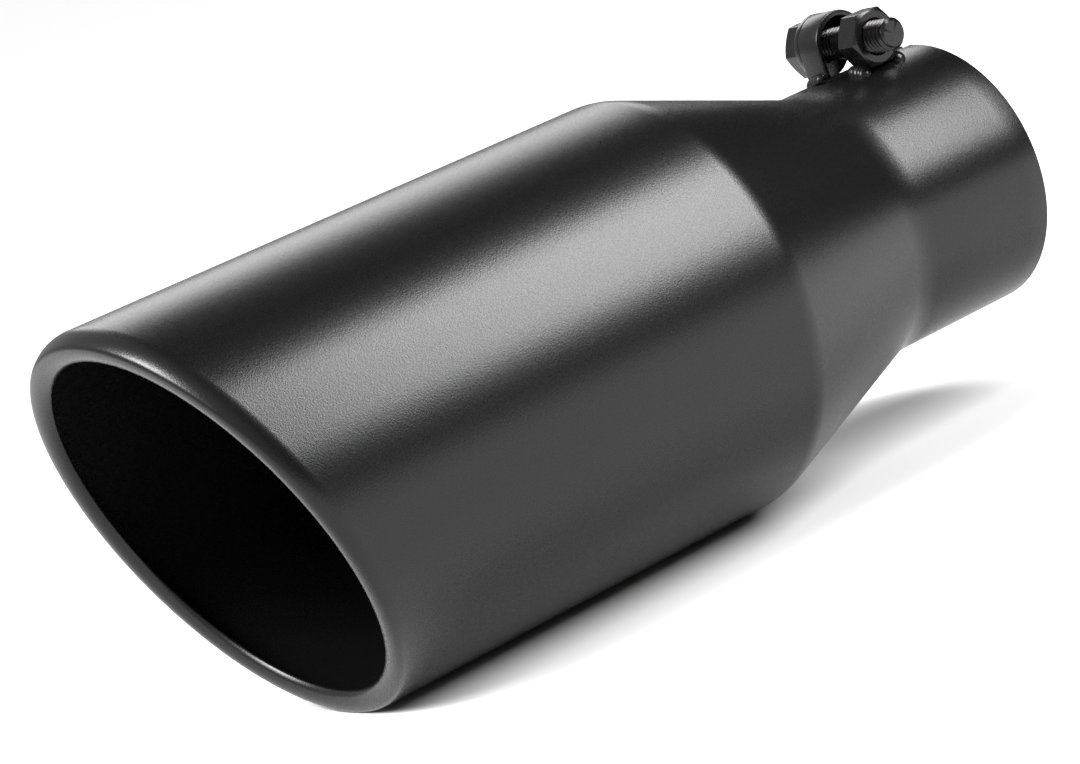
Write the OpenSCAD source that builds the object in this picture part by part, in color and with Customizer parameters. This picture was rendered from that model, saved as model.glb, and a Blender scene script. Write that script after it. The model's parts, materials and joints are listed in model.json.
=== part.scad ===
// Bolt-on exhaust tip: a slant-cut barrel with a rolled lip, a cone and a slit inlet,
// with a welded lug and a welded nut that a clamp bolt draws together.
// The origin is the centre of the inlet's end, +Y runs out of the inlet along the bore,
// the mouth faces -Y, and +Z runs through the clamp and the long side of the slant.

/* [Barrel] */
// Outer diameter of the barrel
barrel_d = 101.6; // [90:0.1:130]
// Length over all, from the inlet's end to the foremost point of the lip
overall_l = 241.3; // [210:0.1:320]
// Sheet thickness of the whole shell
wall = 1.2; // [0.8:0.1:1.4]
// Angle of the slanted mouth from a square cut
slant = 19.4; // [0:0.2:28]

/* [Rolled lip] */
// Outer radius of the soft bend that leaves the barrel
bend_r = 7; // [5:0.1:9]
// Outer radius of the tight roll at the lip's front
lip_r = 1.6; // [1.5:0.1:3]
// Width of the band turned in from the roll
band_w = 3.9; // [3:0.1:7]
// Slope of the band, back into the mouth
band_slope = 12.5; // [5:0.5:30]

/* [Cone] */
// Half angle of the cone
cone_angle = 19; // [14:0.1:28]
// Outside radius where the cone meets the barrel
shoulder_r = 14; // [6:0.5:30]
// Outside radius where the cone meets the inlet
neck_r = 10; // [4:0.5:20]

/* [Inlet] */
// Outer diameter of the tailpipe that the inlet slips over
tailpipe_d = 63.5; // [50:0.1:76.2]
// Difference in diameter between the inlet's bore and the tailpipe
slip_clearance = 0.3; // [0.1:0.1:1]
// Straight length of the inlet
inlet_l = 39.5; // [34:0.5:50]
// Width of the slit in the inlet
slit_w = 3; // [1:0.1:5]
// Distance from the inlet's end to the centre of the hole that ends the slit
slit_l = 28; // [26:0.5:30]
// Diameter of the hole that ends the slit
slit_end_d = 6; // [5.2:0.1:8]

/* [Clamp bolt] */
// Thread diameter
bolt_d = 8; // [6:0.5:10]
// Length of the shank under the head
bolt_l = 28; // [26:0.5:45]
// Width across the flats of the head and the nut
hex_af = 13; // [11:0.5:17]
// Height of the head
head_h = 5.3; // [4:0.1:7]
// Height of the nut
nut_h = 6.5; // [5:0.1:8]
// Outer diameter of the washer
washer_d = 16; // [14:0.5:20]
// Thickness of the washer
washer_t = 1.6; // [1:0.1:2.5]
// Distance from the inlet's end to the bolt's axis
bolt_setback = 16; // [12:0.5:18]

/* [Lug] */
// Length of the lug along the bolt
lug_l = 7.2; // [5:0.1:10]
// Thickness of the lug's strap
lug_t = 1.5; // [1:0.1:2.5]
// Space between the lug and the nut, over the slit
clamp_gap = 6.2; // [5:0.1:10]

/* [Welds and fits] */
// Radius of each weld bead
bead_r = 1.9; // [1.2:0.1:2.4]
// Gap between pieces that seat on each other
seat_gap = 0.1; // [0.05:0.01:0.2]
// Difference in diameter between the bolt and the nut's bore
thread_clearance = 0.2; // [0.1:0.05:0.4]
// Difference in diameter between the bolt and the washer's hole
washer_clearance = 0.5; // [0.3:0.1:1]

/* [Hidden] */
$fn = 96;

powder_black = [0.10, 0.10, 0.11];
oxide_black = [0.17, 0.17, 0.18];

barrel_r = barrel_d / 2;
bore_r = (tailpipe_d + slip_clearance) / 2;
inlet_r = bore_r + wall;

// Stations of the shell along the bore, from the inlet back to the barrel
neck_end_r = inlet_r + neck_r * (1 - cos(cone_angle));
neck_end_y = -inlet_l - neck_r * sin(cone_angle);
shoulder_start_r = barrel_r - shoulder_r * (1 - cos(cone_angle));
shoulder_start_y = neck_end_y - (shoulder_start_r - neck_end_r) / tan(cone_angle);
barrel_y = shoulder_start_y - shoulder_r * sin(cone_angle);
corner_steps = 6;

// The lip bends softly out of the barrel's sheet, then rolls tightly round to the band.
// The bend's centre line is an ellipse on a cylinder inside the barrel
bend_centre_r = barrel_r - bend_r;
bend_end = 84 - slant;
lip_depth = lip_r + (bend_r - lip_r) * cos(bend_end - slant);
lip_y = -overall_l + lip_depth + tan(slant) * bend_centre_r;
mouth_normal = [0, -cos(slant), -sin(slant)];
cut_slant = atan(tan(slant) * bend_centre_r / barrel_r);
lip_facets = 90;
bend_steps = 4;
outer_steps = 7;
inner_steps = 4;
bend_start = 4;
tongue_l = 1.5;
tongue_lap = 0.3;
tongue_inset = 0.12;

// Places of the clamp, with x along the bolt and the slit at x = 0
nut_flat_r = hex_af / 2;
nut_seat_z = sqrt(pow(inlet_r, 2) - pow(clamp_gap / 2, 2)) + nut_flat_r;
washer_seat_z = sqrt(pow(inlet_r, 2) - pow(clamp_gap / 2 + lug_l, 2)) + washer_d / 2;
bolt_z = max(nut_seat_z, washer_seat_z) + seat_gap;
lug_r = washer_d / 2;
lug_x = -clamp_gap / 2 - lug_l;
washer_x = lug_x - washer_t;
nut_x = clamp_gap / 2;
corner_r = nut_flat_r / cos(30);
chamfer_angle = 30;
tip_chamfer = 0.9;
bead_pitch = 1.2;
bead_sink = 0.2;
over = 1;

// Points on an arc around a centre, in the plane of radius and station
function arc(centre, radius, from, to) =
    [for (i = [0:corner_steps])
        let (a = from + (to - from) * i / corner_steps)
        centre + radius * [cos(a), sin(a)]];

// One face of the sheet, set in from the outside by a depth, from the inlet's end to past the mouth
function shell_line(depth) = concat(
    [[inlet_r - depth, 0]],
    arc([inlet_r + neck_r, -inlet_l], neck_r + depth, 180, 180 + cone_angle),
    arc([barrel_r - shoulder_r, barrel_y], shoulder_r - depth, cone_angle, 0),
    [[barrel_r - depth, -overall_l - over]]
);

function reversed(list) = [for (i = [len(list) - 1:-1:0]) list[i]];

// Directions around the mouth: outwards from the axis, and across the mouth's plane
function outward(turn) = [cos(turn), 0, sin(turn)];
function unit(v) = v / norm(v);
function across(turn) =
    let (e = outward(turn))
    unit(e - (e * mouth_normal) * mouth_normal);

// The direction that stands at an angle from the mouth's normal
function leaning(turn, a) = cos(a) * mouth_normal + sin(a) * across(turn);
function barrel_lean(turn) = acos(outward(turn) * mouth_normal) - bend_start;

// Centres of the soft bend and of the tight roll, which share a tangent at the bend's end
function bend_centre(turn) =
    bend_centre_r * outward(turn) + [0, lip_y - tan(slant) * bend_centre_r * sin(turn), 0];
function roll_centre(turn) = bend_centre(turn) + (bend_r - lip_r) * leaning(turn, bend_end);

// Points from one lean to another around each centre
function bend_points(turn, radius, from, to) =
    [for (step = [0:bend_steps])
        bend_centre(turn) + radius * leaning(turn, from + (to - from) * step / bend_steps)];
function roll_points(turn, radius, from, to, steps) =
    [for (step = [1:steps - 1])
        roll_centre(turn) + radius * leaning(turn, from + (to - from) * step / steps)];

// The line where the roll runs into the band, on the outside, and the band's edge
function roll_end(turn) = roll_centre(turn) + lip_r * leaning(turn, -band_slope);
function band_edge(turn) =
    roll_end(turn) - band_w * (sin(band_slope) * mouth_normal + cos(band_slope) * across(turn));

// A point of the tongue that joins the bend to the barrel inside the sheet
function tongue_point(turn, radius, lap) =
    radius * outward(turn) + [0, lip_y - tan(cut_slant) * radius * sin(turn) + lap, 0];

// The closed section of the lip at one place around the mouth
function lip_section(turn) = concat(
    [tongue_point(turn, barrel_r - tongue_inset, tongue_l)],
    [tongue_point(turn, barrel_r - tongue_inset, tongue_lap)],
    bend_points(turn, bend_r, barrel_lean(turn), bend_end),
    roll_points(turn, lip_r, bend_end, -band_slope, outer_steps),
    [roll_end(turn)],
    [band_edge(turn)],
    [band_edge(turn) - wall * leaning(turn, -band_slope)],
    [roll_end(turn) - wall * leaning(turn, -band_slope)],
    roll_points(turn, lip_r - wall, -band_slope, bend_end, inner_steps),
    bend_points(turn, bend_r - wall, bend_end, barrel_lean(turn)),
    [tongue_point(turn, barrel_r - wall + tongue_inset, tongue_lap)],
    [tongue_point(turn, barrel_r - wall + tongue_inset, tongue_l)]
);

// A closed ring swept through sections that each hold the same number of points
module swept_ring(sections) {
    count = len(sections);
    size = len(sections[0]);
    polyhedron(
        points = [for (section = sections) each section],
        faces = [for (i = [0:count - 1], j = [0:size - 1])
            let (
                here = i * size,
                next = ((i + 1) % count) * size,
                k = (j + 1) % size
            )
            each [[here + j, next + k, next + j], [here + j, here + k, next + k]]],
        convexity = 6
    );
}

// Everything in front of the plane where the barrel's sheet starts to bend
module mouth_cut() {
    reach = overall_l;
    translate([0, lip_y, 0])
        rotate([cut_slant, 0, 0])
            translate([-reach, -2 * reach, -reach])
                cube([2 * reach, 2 * reach, 2 * reach]);
}

module shell_body() {
    rotate([-90, 0, 0])
        rotate_extrude($fn = 180)
            polygon(concat(shell_line(0), reversed(shell_line(wall))));
}

module slit() {
    translate([-slit_w / 2, -slit_l, 0])
        cube([slit_w, slit_l + over, inlet_r + over]);
    translate([0, -slit_l, 0])
        cylinder(d = slit_end_d, h = inlet_r + over, $fn = 48);
}

// Turns a shape drawn along +Z so that it runs along the bolt, from its own x
module along_bolt(x) {
    translate([x, -bolt_setback, bolt_z])
        rotate([90, 0, 90])
            children();
}

// The inlet's outside with the seat gap added, for what seats on it
module inlet_seat() {
    rotate([90, 0, 0])
        cylinder(r = inlet_r + seat_gap, h = inlet_l, $fn = 180);
}

// A hexagon with a flat below, in the plane across the bolt
module hex_prism(flat_r, h) {
    cylinder(r = flat_r / cos(30), h = h, $fn = 6);
}

// A cone that takes the corners off one end of a hexagon
module corner_cone(h) {
    grow = corner_r - nut_flat_r + over;
    cylinder(r1 = nut_flat_r, r2 = nut_flat_r + grow, h = grow * tan(chamfer_angle));
    translate([0, 0, grow * tan(chamfer_angle)])
        cylinder(r = nut_flat_r + grow, h = h);
}

// A row of overlapping drops of weld on the inlet, from one x to another
module weld_row(from, to, y) {
    count = floor((to - from - bead_r) / bead_pitch);
    first = (from + to - count * bead_pitch) / 2;
    for (i = [0:count]) {
        x = first + i * bead_pitch;
        translate([x, y, sqrt(inlet_r * inlet_r - x * x) + bead_sink])
            sphere(r = bead_r, $fn = 32);
    }
}

module shell() {
    color(powder_black)
        union() {
            difference() {
                shell_body();
                mouth_cut();
                slit();
            }
            swept_ring([for (i = [0:lip_facets - 1]) lip_section(360 * i / lip_facets)]);
        }
}

module lug_section() {
    inside_r = lug_r - lug_t;
    difference() {
        union() {
            circle(r = lug_r);
            translate([-lug_r, -bolt_z])
                square([2 * lug_r, bolt_z]);
        }
        circle(r = inside_r);
        translate([-inside_r, -bolt_z - over])
            square([2 * inside_r, bolt_z + over]);
    }
}

module clamp_lug() {
    color(powder_black)
        difference() {
            along_bolt(lug_x)
                linear_extrude(height = lug_l)
                    lug_section();
            inlet_seat();
        }
}

module lug_welds() {
    width = 2 * (lug_r + seat_gap);
    color(powder_black)
        for (side = [-1, 1])
            difference() {
                weld_row(lug_x, lug_x + lug_l, -bolt_setback + side * (lug_r + bead_sink));
                inlet_seat();
                translate([lug_x - lug_l, -bolt_setback - width / 2, 0])
                    cube([3 * lug_l, width, bolt_z]);
            }
}

module weld_nut() {
    color(oxide_black)
        along_bolt(nut_x)
            difference() {
                intersection() {
                    hex_prism(nut_flat_r, nut_h);
                    corner_cone(nut_h);
                    translate([0, 0, nut_h])
                        mirror([0, 0, 1])
                            corner_cone(nut_h);
                }
                translate([0, 0, -over])
                    cylinder(d = bolt_d + thread_clearance, h = nut_h + 2 * over);
            }
}

module nut_welds() {
    color(powder_black)
        for (side = [-1, 1])
            difference() {
                weld_row(nut_x, nut_x + nut_h, -bolt_setback + side * (corner_r / 2 + bead_r));
                inlet_seat();
                along_bolt(nut_x - over)
                    hex_prism(nut_flat_r + seat_gap, nut_h + 2 * over);
            }
}

module clamp_bolt() {
    shank_end = washer_x + bolt_l;
    color(oxide_black) {
        along_bolt(washer_x - head_h)
            intersection() {
                hex_prism(nut_flat_r, head_h);
                corner_cone(head_h);
            }
        along_bolt(washer_x)
            cylinder(d = bolt_d, h = bolt_l - tip_chamfer);
        along_bolt(shank_end - tip_chamfer)
            cylinder(r1 = bolt_d / 2, r2 = bolt_d / 2 - tip_chamfer, h = tip_chamfer);
    }
}

module bolt_washer() {
    color(oxide_black)
        along_bolt(washer_x)
            difference() {
                cylinder(d = washer_d, h = washer_t);
                translate([0, 0, -over])
                    cylinder(d = bolt_d + washer_clearance, h = washer_t + 2 * over);
            }
}

shell();
clamp_lug();
lug_welds();
weld_nut();
nut_welds();
clamp_bolt();
bolt_washer();
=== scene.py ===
"""Exhaust tip in black powder coat on a white floor, lit and framed as in the photograph.

Each piece here takes the place of the part's solid of the same node and adds what a camera sees up close: the rounded
lip, the bolt's thread, rounded edges, rippled weld beads and the grain of the coat. Shapes are drawn in millimetres and
turned into metres where a mesh is made. Lights are placed in metres. The outer sizes and the places of the clamp's
pieces are read from the solids' boxes, and the bore and the inlet's length from the record. +Y runs out of the inlet,
the mouth faces -Y and the clamp stands up along +Z.
"""

import json
import math
import random

import bpy
import bmesh
import numpy as np
from mathutils import Matrix, Vector


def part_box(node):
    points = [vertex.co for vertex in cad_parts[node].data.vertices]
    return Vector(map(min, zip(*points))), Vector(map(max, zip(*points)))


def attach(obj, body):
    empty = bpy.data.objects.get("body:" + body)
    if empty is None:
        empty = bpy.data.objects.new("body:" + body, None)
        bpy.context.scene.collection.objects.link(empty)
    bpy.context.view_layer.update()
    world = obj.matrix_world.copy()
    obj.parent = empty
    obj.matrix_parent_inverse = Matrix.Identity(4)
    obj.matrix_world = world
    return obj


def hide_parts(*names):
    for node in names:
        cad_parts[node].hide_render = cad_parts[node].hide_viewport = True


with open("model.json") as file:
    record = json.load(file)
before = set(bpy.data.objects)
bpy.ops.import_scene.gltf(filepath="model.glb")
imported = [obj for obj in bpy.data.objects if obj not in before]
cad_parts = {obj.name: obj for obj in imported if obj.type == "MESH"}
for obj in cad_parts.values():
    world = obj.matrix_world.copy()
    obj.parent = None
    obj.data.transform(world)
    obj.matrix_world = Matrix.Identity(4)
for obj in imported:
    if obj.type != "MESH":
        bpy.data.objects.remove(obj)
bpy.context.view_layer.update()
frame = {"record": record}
random.seed(11)
MM = 0.001
TAU = 2 * math.pi

# The middle of a rounded edge, in shares of its radius from either end
ROUND_NEAR = 0.3
ROUND_FAR = 0.7


def node_box(name):
    """Lowest and highest corner of a node, in millimetres."""
    low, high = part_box(name)
    return np.array(low) / MM, np.array(high) / MM


# The sheet: barrel, cone and inlet
SHELL_LOW, SHELL_HIGH = node_box("shell")
BARREL_R = SHELL_HIGH[0]
OVERALL = -SHELL_LOW[1]
WALL = 1.2
SLANT = math.radians(19.4)
BORE_R = frame["record"]["mounts"][0]["dims"]["r_mm"]
INLET_L = frame["record"]["mounts"][0]["dims"]["length_mm"]
INLET_R = BORE_R + WALL
EDGE_R = 0.35
CONE = math.radians(19)

# The two bends of the cone. The neck is softer than the solid's and lies on the same two lines
SOLID_NECK_R = 10.0
NECK_R = 26.0
NECK_Y = -INLET_L + (NECK_R - SOLID_NECK_R) * math.tan(CONE / 2)
NECK_END = (INLET_R + NECK_R * (1 - math.cos(CONE)), NECK_Y - NECK_R * math.sin(CONE))
SHOULDER_R = 14.0
SHOULDER_START_R = BARREL_R - SHOULDER_R * (1 - math.cos(CONE))
BARREL_Y = NECK_END[1] - (SHOULDER_START_R - NECK_END[0]) / math.tan(CONE) - SHOULDER_R * math.sin(CONE)

# The rolled lip: a soft bend, a tight roll and a rounded band that turns into the mouth.
# Leans are measured outwards from the direction in which the mouth faces
BEND_R = 7.0
ROLL_R = 1.6
BAND_R = 5.0
RIM_BEND_R = 2.2
BEND_END = math.radians(84) - SLANT
ROLL_END = math.radians(10)
BAND_END = math.radians(-30)
RIM_LEAN = math.radians(-70)
BEND_CENTRE_R = BARREL_R - BEND_R
LIP_DEPTH = ROLL_R + (BEND_R - ROLL_R) * math.cos(BEND_END - SLANT)
LIP_Y = -OVERALL + LIP_DEPTH + math.tan(SLANT) * BEND_CENTRE_R
MOUTH_NORMAL = np.array([0.0, -math.cos(SLANT), -math.sin(SLANT)])

# The slit and the round hole that ends it
SLIT_W = 3.0
SLIT_L = 28.0
SLIT_END_R = 3.0

# The clamp's bolt, washer and nut. The shank has a 45 degree taper that would end on TAPER_R and a flat end of TIP_R,
# and START_R closes its other end inside the head
BOLT_LOW, BOLT_HIGH = node_box("clamp_bolt")
WASHER_LOW, WASHER_HIGH = node_box("bolt_washer")
NUT_LOW, NUT_HIGH = node_box("weld_nut")
BOLT_Y = (WASHER_LOW[1] + WASHER_HIGH[1]) / 2
BOLT_Z = (WASHER_LOW[2] + WASHER_HIGH[2]) / 2
BOLT_R = 4.0
PITCH = 1.25
ROOT_R = BOLT_R - 0.61 * PITCH
TIP_R = 3.05
TAPER_R = 3.1
START_R = 3.98
HEX_ANGLE = math.pi / 6
HEX_EDGE_R = 0.5
FLAT_R = (NUT_HIGH[2] - NUT_LOW[2]) / 2
CORNER_R = FLAT_R / math.cos(HEX_ANGLE)
FACE_R = FLAT_R * 0.95
NUT_BORE_R = 4.1
COUNTERSINK = 0.5
WASHER_R = (WASHER_HIGH[2] - WASHER_LOW[2]) / 2
WASHER_T = WASHER_HIGH[0] - WASHER_LOW[0]
WASHER_BORE_R = 4.25
WASHER_EDGE = 0.15
WASHER_ROUND = 0.3

# The clamp's strap and the weld beads
LUG_LOW, LUG_HIGH = node_box("clamp_lug")
STRAP_T = 1.5
STRAP_EDGE_R = 0.3
FOOT_Z = 26.0
FOOT_SINK = 0.1
BEAD_R = 1.9
BEAD_LIFT = 0.15
BEAD_FLATNESS = 0.9
BEAD_END_GAP = 0.1
RIPPLE_L = 1.3
RIPPLE_HEIGHT = 0.07
RIPPLE_SPREAD = 0.015
LUG_BEAD_OFF = 8.2
NUT_BEAD_OFF = CORNER_R / 2 + 1.9


def linked(name, data):
    """An object in the scene that holds a mesh, a light or a camera."""
    obj = bpy.data.objects.new(name, data)
    bpy.context.scene.collection.objects.link(obj)
    return obj


def new_object(name, points, faces, smooth_angle=30):
    """An object from points in millimetres, shaded smooth up to an angle between faces, in degrees."""
    mesh = bpy.data.meshes.new(name)
    mesh.from_pydata([tuple(p * MM) for p in np.asarray(points, float)], [], faces)
    work = bmesh.new()
    work.from_mesh(mesh)
    bmesh.ops.remove_doubles(work, verts=work.verts, dist=1e-6)
    bmesh.ops.dissolve_degenerate(work, edges=work.edges, dist=1e-6)
    bmesh.ops.recalc_face_normals(work, faces=work.faces)
    work.to_mesh(mesh)
    work.free()
    mesh.shade_smooth()
    mesh.set_sharp_from_angle(angle=math.radians(smooth_angle))
    return linked(name, mesh)


def ring_faces(rows, count, close_rows=False):
    """Quads between rows of points that each go round once."""
    faces = []
    for row in range(rows if close_rows else rows - 1):
        after = (row + 1) % rows
        for k in range(count):
            following = (k + 1) % count
            faces.append((row * count + k, row * count + following, after * count + following, after * count + k))
    return faces


def end_faces(rows, count, first=0):
    """The two faces that close the first and the last of some rows."""
    last = first + (rows - 1) * count
    return [tuple(range(first, first + count))[::-1], tuple(range(last, last + count))]


def polar(radius, angle):
    """The two values of a point at a radius and an angle."""
    return np.array([radius * math.cos(angle), radius * math.sin(angle)])


def between(start, end, parts):
    """Points on the line from start to end, at parts of its length."""
    return [start + (end - start) * part for part in parts]


def finish_piece(obj, material, slot, *nodes):
    """Gives a piece its material and its place in the frame."""
    obj.data.materials.clear()
    obj.data.materials.append(material)
    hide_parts(*nodes)
    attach(obj, "root")


def noise_bump(tree, bumps):
    """Stacks bumps of different grain in the object's own coordinates, each with a scale, strength and distance."""
    place = tree.nodes.new("ShaderNodeTexCoord")
    last = None
    for scale, strength, distance in bumps:
        noise = tree.nodes.new("ShaderNodeTexNoise")
        noise.inputs["Scale"].default_value = scale
        noise.inputs["Detail"].default_value = 3
        tree.links.new(place.outputs["Object"], noise.inputs["Vector"])
        bump = tree.nodes.new("ShaderNodeBump")
        bump.inputs["Strength"].default_value = strength
        bump.inputs["Distance"].default_value = distance
        tree.links.new(noise.outputs["Fac"], bump.inputs["Height"])
        if last:
            tree.links.new(last.outputs["Normal"], bump.inputs["Normal"])
        last = bump
    return last


def coat_material(name, colour, roughness, spread, ior, bumps, metallic=0.0):
    """A dark coat whose gloss and surface vary finely."""
    gloss_scale = 3000
    noise_low, noise_high = 0.3, 0.7
    material = bpy.data.materials.new(name)
    material.use_nodes = True
    tree = material.node_tree
    shader = tree.nodes["Principled BSDF"]
    shader.inputs["Base Color"].default_value = (*colour, 1)
    shader.inputs["IOR"].default_value = ior
    shader.inputs["Metallic"].default_value = metallic
    place = tree.nodes.new("ShaderNodeTexCoord")
    noise = tree.nodes.new("ShaderNodeTexNoise")
    noise.inputs["Scale"].default_value = gloss_scale
    noise.inputs["Detail"].default_value = 2
    tree.links.new(place.outputs["Object"], noise.inputs["Vector"])
    spans = tree.nodes.new("ShaderNodeMapRange")
    spans.inputs["From Min"].default_value = noise_low
    spans.inputs["From Max"].default_value = noise_high
    spans.inputs["To Min"].default_value = roughness - spread
    spans.inputs["To Max"].default_value = roughness + spread
    tree.links.new(noise.outputs["Fac"], spans.inputs["Value"])
    tree.links.new(spans.outputs["Result"], shader.inputs["Roughness"])
    bump = noise_bump(tree, bumps)
    tree.links.new(bump.outputs["Normal"], shader.inputs["Normal"])
    return material


POWDER = coat_material(
    "powder coat", colour=(0.003, 0.003, 0.0032), roughness=0.28, spread=0.04, ior=1.35,
    bumps=[(2600, 0.8, 0.00004), (6000, 0.4, 0.00001)],
)
OXIDE = coat_material(
    "black oxide", colour=(0.024, 0.023, 0.023), roughness=0.24, spread=0.08, ior=1.5,
    bumps=[(900, 0.30, 0.00005), (2500, 0.25, 0.00002)], metallic=0.85,
)


def arc(centre, radius, start, stop, steps):
    """Points of an arc in the plane of radius and station."""
    return [np.array(centre) + polar(radius, a) for a in np.linspace(start, stop, steps + 1)]


def sheet_line(depth):
    """The sheet's face at a depth, from behind the inlet's rounded end to the barrel."""
    straight = [np.array([INLET_R - depth, y]) for y in (-6.0, -16.0, -28.0)]
    neck = arc((INLET_R + NECK_R, NECK_Y), NECK_R + depth, math.pi, math.pi + CONE, 10)
    shoulder = arc((BARREL_R - SHOULDER_R, BARREL_Y), SHOULDER_R - depth, CONE, 0.0, 10)
    return straight + neck + between(neck[-1], shoulder[0], (0.25, 0.5, 0.75)) + shoulder


def inlet_rim():
    """The rounded end of the inlet, from the inside to the outside."""
    inner = arc((BORE_R + EDGE_R, -EDGE_R), EDGE_R, math.pi, math.pi / 2, 4)
    outer = arc((INLET_R - EDGE_R, -EDGE_R), EDGE_R, math.pi / 2, 0.0, 4)
    return inner + outer


def around(turn, line):
    """Points of a radius-and-station line at one turn about the bore."""
    return [np.array([p[0] * math.cos(turn), p[1], p[0] * math.sin(turn)]) for p in line]


def lip_section(turn):
    """The lip's line at one turn about the bore, from the outside of the barrel to its inside."""
    out = np.array([math.cos(turn), 0.0, math.sin(turn)])
    across = out - (out @ MOUTH_NORMAL) * MOUTH_NORMAL
    across /= np.linalg.norm(across)

    def leaning(a):
        return math.cos(a) * MOUTH_NORMAL + math.sin(a) * across

    barrel_lean = math.acos(out @ MOUTH_NORMAL)
    bend_centre = BEND_CENTRE_R * out
    bend_centre[1] = LIP_Y - math.tan(SLANT) * BEND_CENTRE_R * math.sin(turn)
    roll_centre = bend_centre + (BEND_R - ROLL_R) * leaning(BEND_END)
    band_centre = roll_centre + (ROLL_R - BAND_R) * leaning(ROLL_END)
    rim_centre = band_centre + (BAND_R - RIM_BEND_R) * leaning(BAND_END)
    arcs = [
        (bend_centre, BEND_R, np.linspace(barrel_lean, BEND_END, 14)[:-1]),
        (roll_centre, ROLL_R, np.linspace(BEND_END, ROLL_END, 10)[:-1]),
        (band_centre, BAND_R, np.linspace(ROLL_END, BAND_END, 8)[:-1]),
        (rim_centre, RIM_BEND_R, np.linspace(BAND_END, RIM_LEAN, 8)),
    ]
    outer, inner = (
        [centre + (radius - depth) * leaning(a) for centre, radius, leans in arcs for a in leans]
        for depth in (0.0, WALL)
    )
    up = leaning(RIM_LEAN)
    onward = math.sin(RIM_LEAN) * MOUTH_NORMAL - math.cos(RIM_LEAN) * across
    rim = [
        outer[-1] + EDGE_R * (ROUND_FAR * onward - ROUND_NEAR * up),
        outer[-1] + EDGE_R * (onward - up),
        inner[-1] + EDGE_R * (onward + up),
        inner[-1] + EDGE_R * (ROUND_FAR * onward + ROUND_NEAR * up),
    ]
    return outer + rim + inner[::-1]


def slit_cutter():
    """A keyhole that stands up through the sheet over the inlet."""
    open_angle = math.asin(SLIT_W / 2 / SLIT_END_R)
    angles = np.linspace(math.pi / 2 + open_angle, TAU + math.pi / 2 - open_angle, 24)
    outline = [polar(SLIT_END_R, a) - (0.0, SLIT_L) for a in angles]
    past_end, below, above = 5.0, 20.0, 45.0
    outline += [(SLIT_W / 2, past_end), (-SLIT_W / 2, past_end)]
    points = [(x, y, z) for z in (below, above) for x, y in outline]
    faces = ring_faces(2, len(outline)) + end_faces(2, len(outline))
    return new_object("slit_cutter", points, faces)


def shell_piece():
    """The sheet swept round, with the slit and its end hole cut away."""
    count = 288
    smooth_angle = 40
    points = []
    for k in range(count):
        turn = TAU * k / count
        outside = around(turn, sheet_line(0.0))
        inside = around(turn, sheet_line(WALL))
        lip = lip_section(turn)
        barrel_out = between(outside[-1], lip[0], (0.2, 0.4, 0.6, 0.8))
        barrel_in = between(lip[-1], inside[-1], (0.25, 0.5, 0.75))
        points += around(turn, inlet_rim()) + outside + barrel_out + lip + barrel_in + inside[::-1]
    size = len(points) // count
    obj = new_object("shell_sheet", points, ring_faces(count, size, close_rows=True), smooth_angle)
    cutter = slit_cutter()
    cut = obj.modifiers.new("slit", "BOOLEAN")
    cut.operation = "DIFFERENCE"
    cut.solver = "EXACT"
    cut.object = cutter
    shape = bpy.data.meshes.new_from_object(obj.evaluated_get(bpy.context.evaluated_depsgraph_get()))
    obj.modifiers.clear()
    obj.data = shape
    bpy.data.objects.remove(cutter)
    shape.shade_smooth()
    shape.set_sharp_from_angle(angle=math.radians(smooth_angle))
    return obj


def to_bolt(points, x):
    """Turns points drawn along the bolt, with the third value along it, into the part's frame."""
    return [np.array([x + p[2], BOLT_Y + p[0], BOLT_Z + p[1]]) for p in points]


def washer_piece():
    """The washer: a profile of radius and distance turned about the bolt's axis, rounded under the bolt's head."""
    mid = ROUND_NEAR * WASHER_ROUND
    profile = [
        (WASHER_BORE_R, WASHER_EDGE), (WASHER_BORE_R + WASHER_EDGE, 0.0),
        (WASHER_R - WASHER_ROUND, 0.0), (WASHER_R - mid, mid), (WASHER_R, WASHER_ROUND),
        (WASHER_R, WASHER_T - WASHER_EDGE), (WASHER_R - WASHER_EDGE, WASHER_T),
        (WASHER_BORE_R + WASHER_EDGE, WASHER_T), (WASHER_BORE_R, WASHER_T - WASHER_EDGE),
    ]
    count = 64
    points = [(*polar(r, TAU * k / count), along) for k in range(count) for r, along in profile]
    faces = ring_faces(count, len(profile), close_rows=True)
    return new_object("washer", to_bolt(points, WASHER_LOW[0]), faces, 35)


def hex_outline():
    """Points of a hexagon with a flat below and softly rounded corners."""
    centre_r = (FLAT_R - HEX_EDGE_R) / math.cos(HEX_ANGLE)
    corners = []
    for corner in range(6):
        middle = TAU * corner / 6
        leans = np.linspace(-HEX_ANGLE, HEX_ANGLE, 5)
        corners.append([polar(centre_r, middle) + polar(HEX_EDGE_R, middle + a) for a in leans])
    points = []
    for here, following in zip(corners, corners[1:] + corners[:1]):
        points += here + between(here[-1], following[0], (0.2, 0.4, 0.6, 0.8))
    return points


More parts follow.
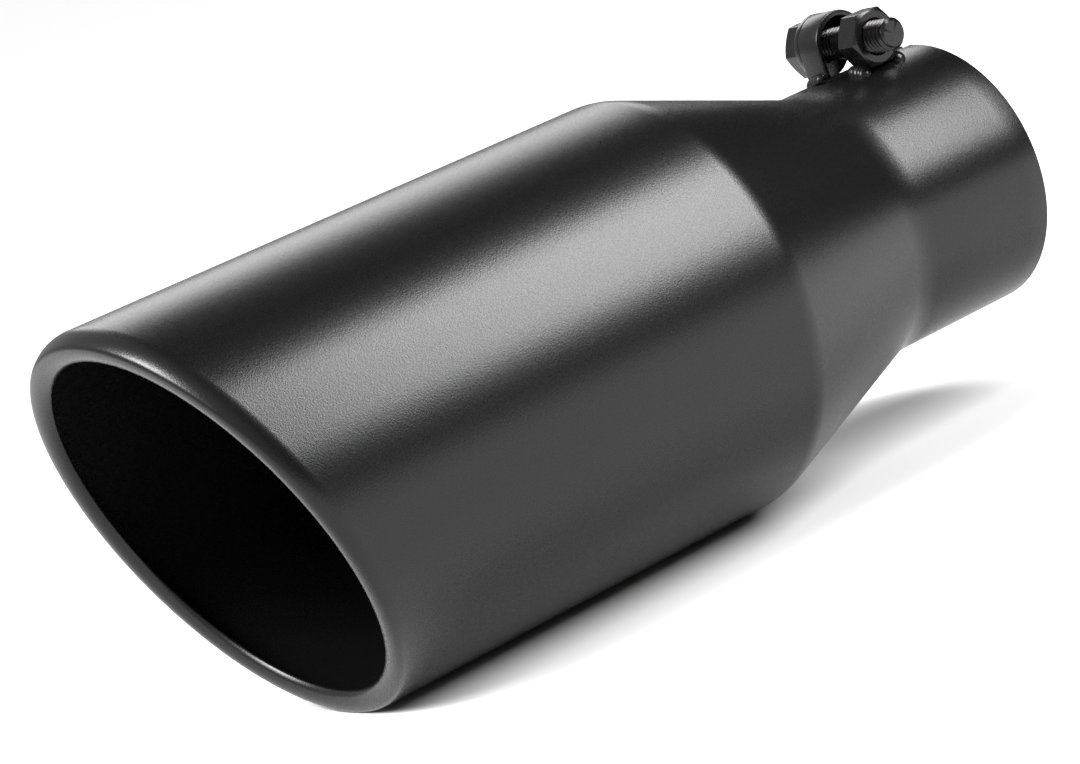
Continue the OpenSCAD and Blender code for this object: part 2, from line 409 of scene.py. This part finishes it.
def hex_piece(name, x, height, chamfer_far, hole_r=0.0):
    """A hexagon body along the bolt, chamfered at its near end and where asked at its far one.

    Where a hole is asked for, it goes right through and is countersunk at both ends. A solid end closes on a tiny ring.
    """
    outline = hex_outline()
    centre_r = hole_r + COUNTERSINK if hole_r else 0.01

    def circle(radius, along):
        return [(*(p / np.linalg.norm(p) * radius), along) for p in outline]

    def end_rows(along, inwards, chamfered):
        slope = math.tan(HEX_ANGLE) * chamfered
        lifts = [max(0.0, np.linalg.norm(p) - FACE_R) * slope for p in outline]
        side = [(*p, along + inwards * lift) for p, lift in zip(outline, lifts)]
        return [circle(centre_r, along), circle(FACE_R, along), side]

    rows = end_rows(0.0, 1, True) + end_rows(height, -1, chamfer_far)[::-1]
    if hole_r:
        rows += [circle(hole_r, along) for along in (height - COUNTERSINK, COUNTERSINK)]
    points = [p for row in rows for p in row]
    faces = ring_faces(len(rows), len(outline), close_rows=bool(hole_r))
    if not hole_r:
        faces += end_faces(len(rows), len(outline))
    return new_object(name, to_bolt(points, x), faces, 20)


def thread_piece(name, x_start, x_end):
    """A right-hand thread whose crest and root lines follow the helix, tapered at its end and closed at both."""
    steps = 48
    profile = [(-1 / 16, BOLT_R), (1 / 16, BOLT_R), (6 / 16, ROOT_R), (10 / 16, ROOT_R)]
    turns = int((x_end - x_start) / PITCH) + 3
    points = []
    rows = 0
    for turn in range(-1, turns):
        for phase, radius in profile:
            rows += 1
            for k in range(steps + 1):
                along = x_start + PITCH * (turn + phase + k / steps)
                at = min(max(along, x_start), x_end)
                r = radius if along > x_start else START_R
                r = max(TIP_R, min(r, TAPER_R + x_end - along)) if at < x_end else TIP_R
                points.append((*polar(r, TAU * k / steps), at))
    wide = steps + 1
    faces = [
        (row * wide + k, row * wide + k + 1, (row + 1) * wide + k + 1, (row + 1) * wide + k)
        for row in range(rows - 1) for k in range(steps)
    ]
    for x, rim_r in ((x_start, START_R), (x_end, TIP_R)):
        first = len(points)
        points.append((0.0, 0.0, x))
        points += [(*polar(rim_r, TAU * k / steps), x) for k in range(steps)]
        faces += [(first, first + 1 + k, first + 1 + (k + 1) % steps) for k in range(steps)]
    return new_object(name, to_bolt(points, 0.0), faces, 25)


def bolt_piece():
    """The bolt's head and its threaded shank, which starts inside the head, as one object."""
    into_head = 0.5
    head = hex_piece("bolt_head", BOLT_LOW[0], WASHER_LOW[0] - BOLT_LOW[0], chamfer_far=False)
    thread = thread_piece("bolt_thread", WASHER_LOW[0] - into_head, BOLT_HIGH[0])
    work = bmesh.new()
    for piece in (head, thread):
        work.from_mesh(piece.data)
        bpy.data.objects.remove(piece)
    mesh = bpy.data.meshes.new("bolt_with_thread")
    work.to_mesh(mesh)
    work.free()
    return linked("bolt_with_thread", mesh)


def lug_piece():
    """The strap, bent over the bolt and standing on the inlet on two legs."""
    middle_r = (LUG_HIGH[1] - LUG_LOW[1]) / 2 - STRAP_T / 2
    length = LUG_HIGH[0] - LUG_LOW[0]
    path = [(middle_r, z, 0.0) for z in np.linspace(FOOT_Z - BOLT_Z, 0, 5)[:-1]]
    path += [(*polar(middle_r, a), a) for a in np.linspace(0, math.pi, 25)]
    path += [(-middle_r, z, math.pi) for z in np.linspace(0, FOOT_Z - BOLT_Z, 5)[1:]]
    section = []
    for corner, (across, along) in enumerate(((1, 1), (-1, 1), (-1, -1), (1, -1))):
        centre = (across * (STRAP_T / 2 - STRAP_EDGE_R), along * (length / 2 - STRAP_EDGE_R))
        section += arc(centre, STRAP_EDGE_R, corner * math.pi / 2, (corner + 1) * math.pi / 2, 3)
    points = []
    for y, z, a in path:
        for t, along in section:
            x = LUG_LOW[0] + length / 2 + along
            ground = math.sqrt(INLET_R ** 2 - x ** 2) - FOOT_SINK
            points.append((x, BOLT_Y + y + t * math.cos(a), max(BOLT_Z + z + t * math.sin(a), ground)))
    faces = ring_faces(len(path), len(section)) + end_faces(len(path), len(section))
    return new_object("lug_strap", points, faces, 35)


def bead_piece(name, low, high, off):
    """Weld beads with ripples and uneven edges that lie along X on the inlet, one on each side of the bolt's middle."""
    count = 20
    least_r = 0.02
    x_start, x_end = low[0] + BEAD_END_GAP, high[0] - BEAD_END_GAP
    stations = np.linspace(0, 1, 41)
    points = []
    faces = []
    for y in (BOLT_Y - off, BOLT_Y + off):
        first = len(points)
        for s in stations:
            x = x_start + (x_end - x_start) * s
            from_end = min(s, 1 - s) * (x_end - x_start)
            cap = math.sqrt(max(0.0, 1 - max(0.0, 1 - from_end / BEAD_R) ** 2))
            wave = abs(math.sin(math.pi * (x - x_start) / RIPPLE_L))
            ripple = 1 + RIPPLE_HEIGHT * wave + random.uniform(-RIPPLE_SPREAD, RIPPLE_SPREAD)
            r = max(least_r, BEAD_R * cap * ripple)
            ground = math.sqrt(INLET_R ** 2 - x ** 2)
            for k in range(count):
                out, up = polar(r, TAU * k / count)
                points.append((x, y + out, ground + BEAD_LIFT + BEAD_FLATNESS * up))
        faces += [tuple(first + i for i in face) for face in ring_faces(len(stations), count)]
        faces += end_faces(len(stations), count, first)
    return new_object(name, points, faces, 60)


finish_piece(shell_piece(), POWDER, "powder_coat", "shell")
finish_piece(lug_piece(), POWDER, "powder_coat", "clamp_lug")
finish_piece(bolt_piece(), OXIDE, "black_oxide", "clamp_bolt")
finish_piece(washer_piece(), OXIDE, "black_oxide", "bolt_washer")
nut = hex_piece("nut", NUT_LOW[0], NUT_HIGH[0] - NUT_LOW[0], chamfer_far=True, hole_r=NUT_BORE_R)
finish_piece(nut, OXIDE, "black_oxide", "weld_nut")
finish_piece(bead_piece("lug_beads", LUG_LOW, LUG_HIGH, LUG_BEAD_OFF), POWDER, "powder_coat", "lug_welds")
finish_piece(bead_piece("nut_beads", NUT_LOW, NUT_HIGH, NUT_BEAD_OFF), POWDER, "powder_coat", "nut_welds")


# The floor under the barrel
FLOOR_HALF = 4000.0
FLOOR_CORNERS = ((-1, -1), (1, -1), (1, 1), (-1, 1))

floor_material = bpy.data.materials.new("floor")
floor_material.use_nodes = True
floor_shader = floor_material.node_tree.nodes["Principled BSDF"]
floor_shader.inputs["Base Color"].default_value = (0.70, 0.70, 0.70, 1)
floor_shader.inputs["Roughness"].default_value = 0.7
floor_shader.inputs["Specular IOR Level"].default_value = 0.2
floor_points = [(x * FLOOR_HALF, y * FLOOR_HALF, -BARREL_R) for x, y in FLOOR_CORNERS]
floor = new_object("floor", floor_points, [(0, 1, 2, 3)])
floor.data.materials.append(floor_material)

# A pale sky over the mouth's side of the room, which leaves the side that the barrel mirrors dark
SKY_TOWARDS = (-0.35, -0.94, 0.0)
SKY_EDGE = (-0.25, 0.15)
SKY_DARK = 0.02
SKY_BRIGHT = 0.64

world = bpy.data.worlds.new("studio")
bpy.context.scene.world = world
world.use_nodes = True
sky = world.node_tree
sky_place = sky.nodes.new("ShaderNodeTexCoord")
sky_dot = sky.nodes.new("ShaderNodeVectorMath")
sky_dot.operation = "DOT_PRODUCT"
sky_dot.inputs[1].default_value = SKY_TOWARDS
sky_span = sky.nodes.new("ShaderNodeMapRange")
sky_span.interpolation_type = "SMOOTHSTEP"
sky_span.inputs["From Min"].default_value = SKY_EDGE[0]
sky_span.inputs["From Max"].default_value = SKY_EDGE[1]
sky_span.inputs["To Min"].default_value = SKY_DARK
sky_span.inputs["To Max"].default_value = SKY_BRIGHT
sky.links.new(sky_place.outputs["Generated"], sky_dot.inputs[0])
sky.links.new(sky_dot.outputs["Value"], sky_span.inputs["Value"])
sky.links.new(sky_span.outputs["Result"], sky.nodes["Background"].inputs["Strength"])
sky.nodes["Background"].inputs["Color"].default_value = (1, 1, 1, 1)

LIGHTS_AIM = Vector((0, -0.12, 0))
FRONT = (-0.10, -0.72, 0.68)


def soft_light(name, direction, distance, width, height, radiance, turn=0.0):
    """A softbox in a direction from the middle of the object, facing it and turned about its own beam."""
    data = bpy.data.lights.new(name, "AREA")
    data.shape = "RECTANGLE"
    data.size = width
    data.size_y = height
    data.energy = radiance * math.pi * width * height
    obj = linked(name, data)
    away = Vector(direction).normalized()
    obj.location = LIGHTS_AIM + away * distance
    obj.rotation_mode = "QUATERNION"
    facing = away.to_track_quat("Z", "Y")
    obj.rotation_quaternion = facing @ Matrix.Rotation(turn, 3, "Z").to_quaternion()


# The key gives the long band on the barrel, the one at the back the line along its top, and the front ones
# the streaks on the lip and most of the white of the floor
soft_light(
    "key", (0.553, 0.56, 0.614), distance=1.2, width=0.43, height=0.85, radiance=24.0, turn=math.radians(-28),
)
soft_light("back", (-0.75, 0.50, 0.48), distance=1.4, width=0.8, height=0.6, radiance=3.2)
soft_light("front_softbox", FRONT, distance=1.0, width=0.30, height=0.30, radiance=30.0)
sun_data = bpy.data.lights.new("front", "SUN")
sun_data.energy = 5.1
sun_data.angle = math.radians(34)
sun = linked("front", sun_data)
sun.rotation_mode = "QUATERNION"
sun.rotation_quaternion = Vector(FRONT).to_track_quat("Z", "Y")

# The camera, as fitted to the photograph, with its place in millimetres
CAMERA_PLACE = (727.58, -611.21, 154.85)
CAMERA_RIGHT = (0.56805, 0.75689, -0.32316)
CAMERA_DOWN = (-0.04029, -0.36662, -0.92950)
CAMERA_AHEAD = (-0.82201, 0.54102, -0.17776)
FOCAL_PIXELS = 3925.1
PHOTO_WIDTH = 1080

camera_data = bpy.data.cameras.new("camera")
camera_data.sensor_fit = "HORIZONTAL"
camera_data.sensor_width = 36
camera_data.lens = FOCAL_PIXELS * camera_data.sensor_width / PHOTO_WIDTH
camera_data.clip_start = 0.01
camera = linked("camera", camera_data)
axes = Matrix((CAMERA_RIGHT, [-v for v in CAMERA_DOWN], [-v for v in CAMERA_AHEAD])).transposed()
camera.matrix_world = Matrix.Translation(Vector(CAMERA_PLACE) * MM) @ axes.to_4x4()
bpy.context.scene.camera = camera

bpy.context.scene.view_settings.view_transform = "Standard"
bpy.context.scene.view_settings.look = "None"

bpy.context.view_layer.update()
